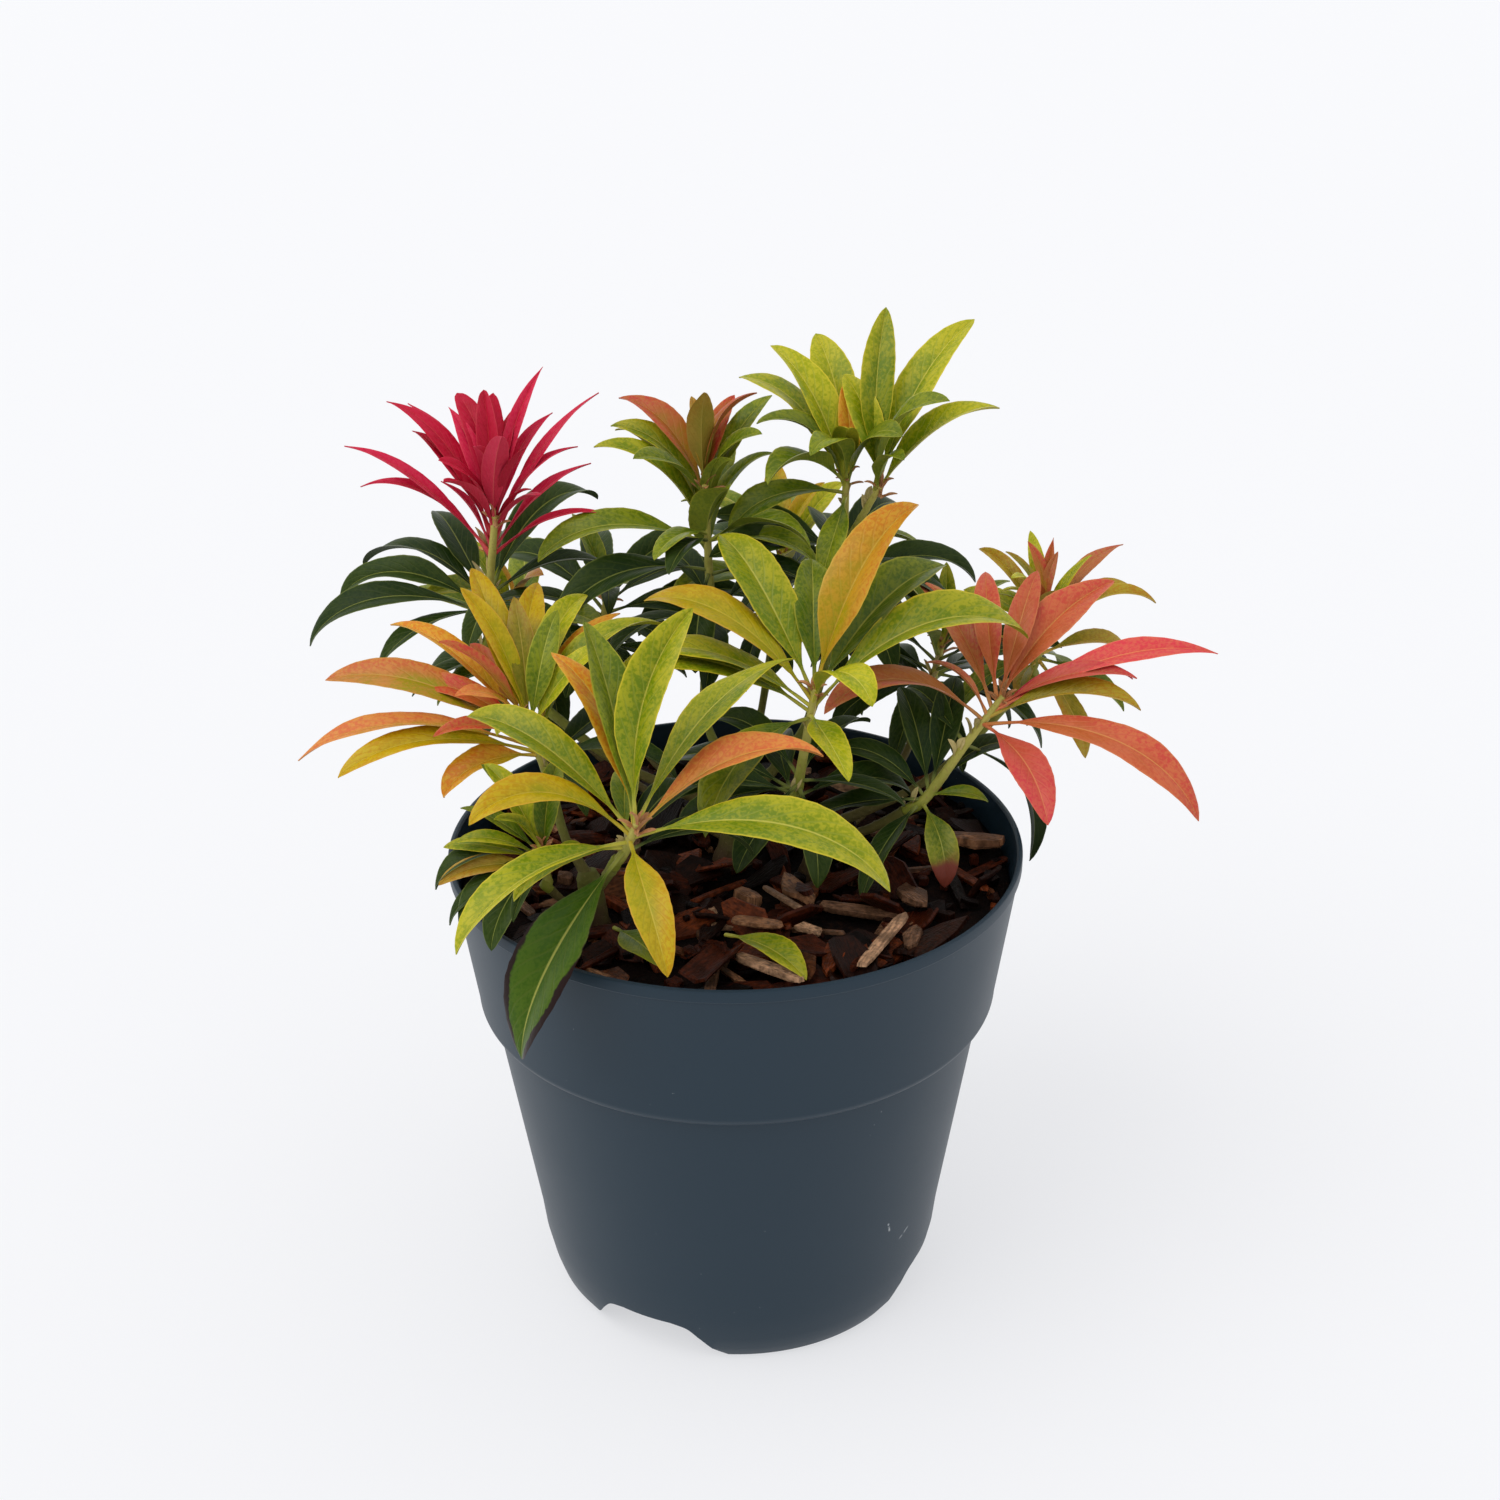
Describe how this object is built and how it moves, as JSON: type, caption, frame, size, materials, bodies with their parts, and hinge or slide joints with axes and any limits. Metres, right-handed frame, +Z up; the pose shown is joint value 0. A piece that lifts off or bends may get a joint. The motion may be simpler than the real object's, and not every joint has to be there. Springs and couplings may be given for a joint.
{
  "type": "potted pieris shrub",
  "caption": "Young pieris shrub with whorled leaves on forking stems, standing in bark mulch in a round tapered nursery pot with a deep collar.",
  "frame": {"origin": "centre of the pot's flat underside, on the surface it stands on", "axes": "+Z up along the pot's axis, +X to the right and -Y towards the viewer in the reference picture"},
  "size_m": [0.2978, 0.2592, 0.3226],
  "materials": {
    "pot_plastic": "matte dark slate blue-grey moulded plastic with a few pale scuffs",
    "mulch": "damp reddish-brown bark chips over dark compost",
    "bark": "thin matte bark, grey-brown at the foot and green higher up",
    "green_wood": "smooth young green stems",
    "red_leaves": "satin crimson young leaves over dark green old ones",
    "lime_leaves": "glossy lime green leaves mottled with yellow",
    "green_leaves": "glossy mid green leaves",
    "orange_leaves": "satin yellow and orange young leaves",
    "salmon_leaves": "satin salmon and coral young leaves",
    "dark_leaves": "glossy dark green old leaves with pale midribs"
  },
  "bodies": {
    "root": {"pot": "pot_plastic", "soil": "mulch", "trunk": "bark", "stem_left": "bark", "stem_right": "bark", "bough_red": "green_wood", "bough_small_top": "green_wood", "bough_top": "green_wood", "bough_dark_centre": "green_wood", "bough_back": "green_wood", "bough_back_left": "green_wood", "bough_salmon": "green_wood", "bough_centre": "green_wood", "bough_back_right": "green_wood", "bough_right_low": "green_wood", "bough_front_left": "green_wood", "bough_left": "green_wood", "bough_low_left": "green_wood", "foliage_red": "red_leaves", "foliage_small_top": "green_leaves", "foliage_top": "lime_leaves", "foliage_centre": "lime_leaves", "foliage_front_left": "lime_leaves", "foliage_left": "orange_leaves", "foliage_salmon": "salmon_leaves", "foliage_back_right": "orange_leaves", "foliage_dark_centre": "dark_leaves", "foliage_low_left": "green_leaves", "foliage_back": "green_leaves", "foliage_back_left": "green_leaves", "foliage_right_low": "dark_leaves"}
  },
  "joints": []
}
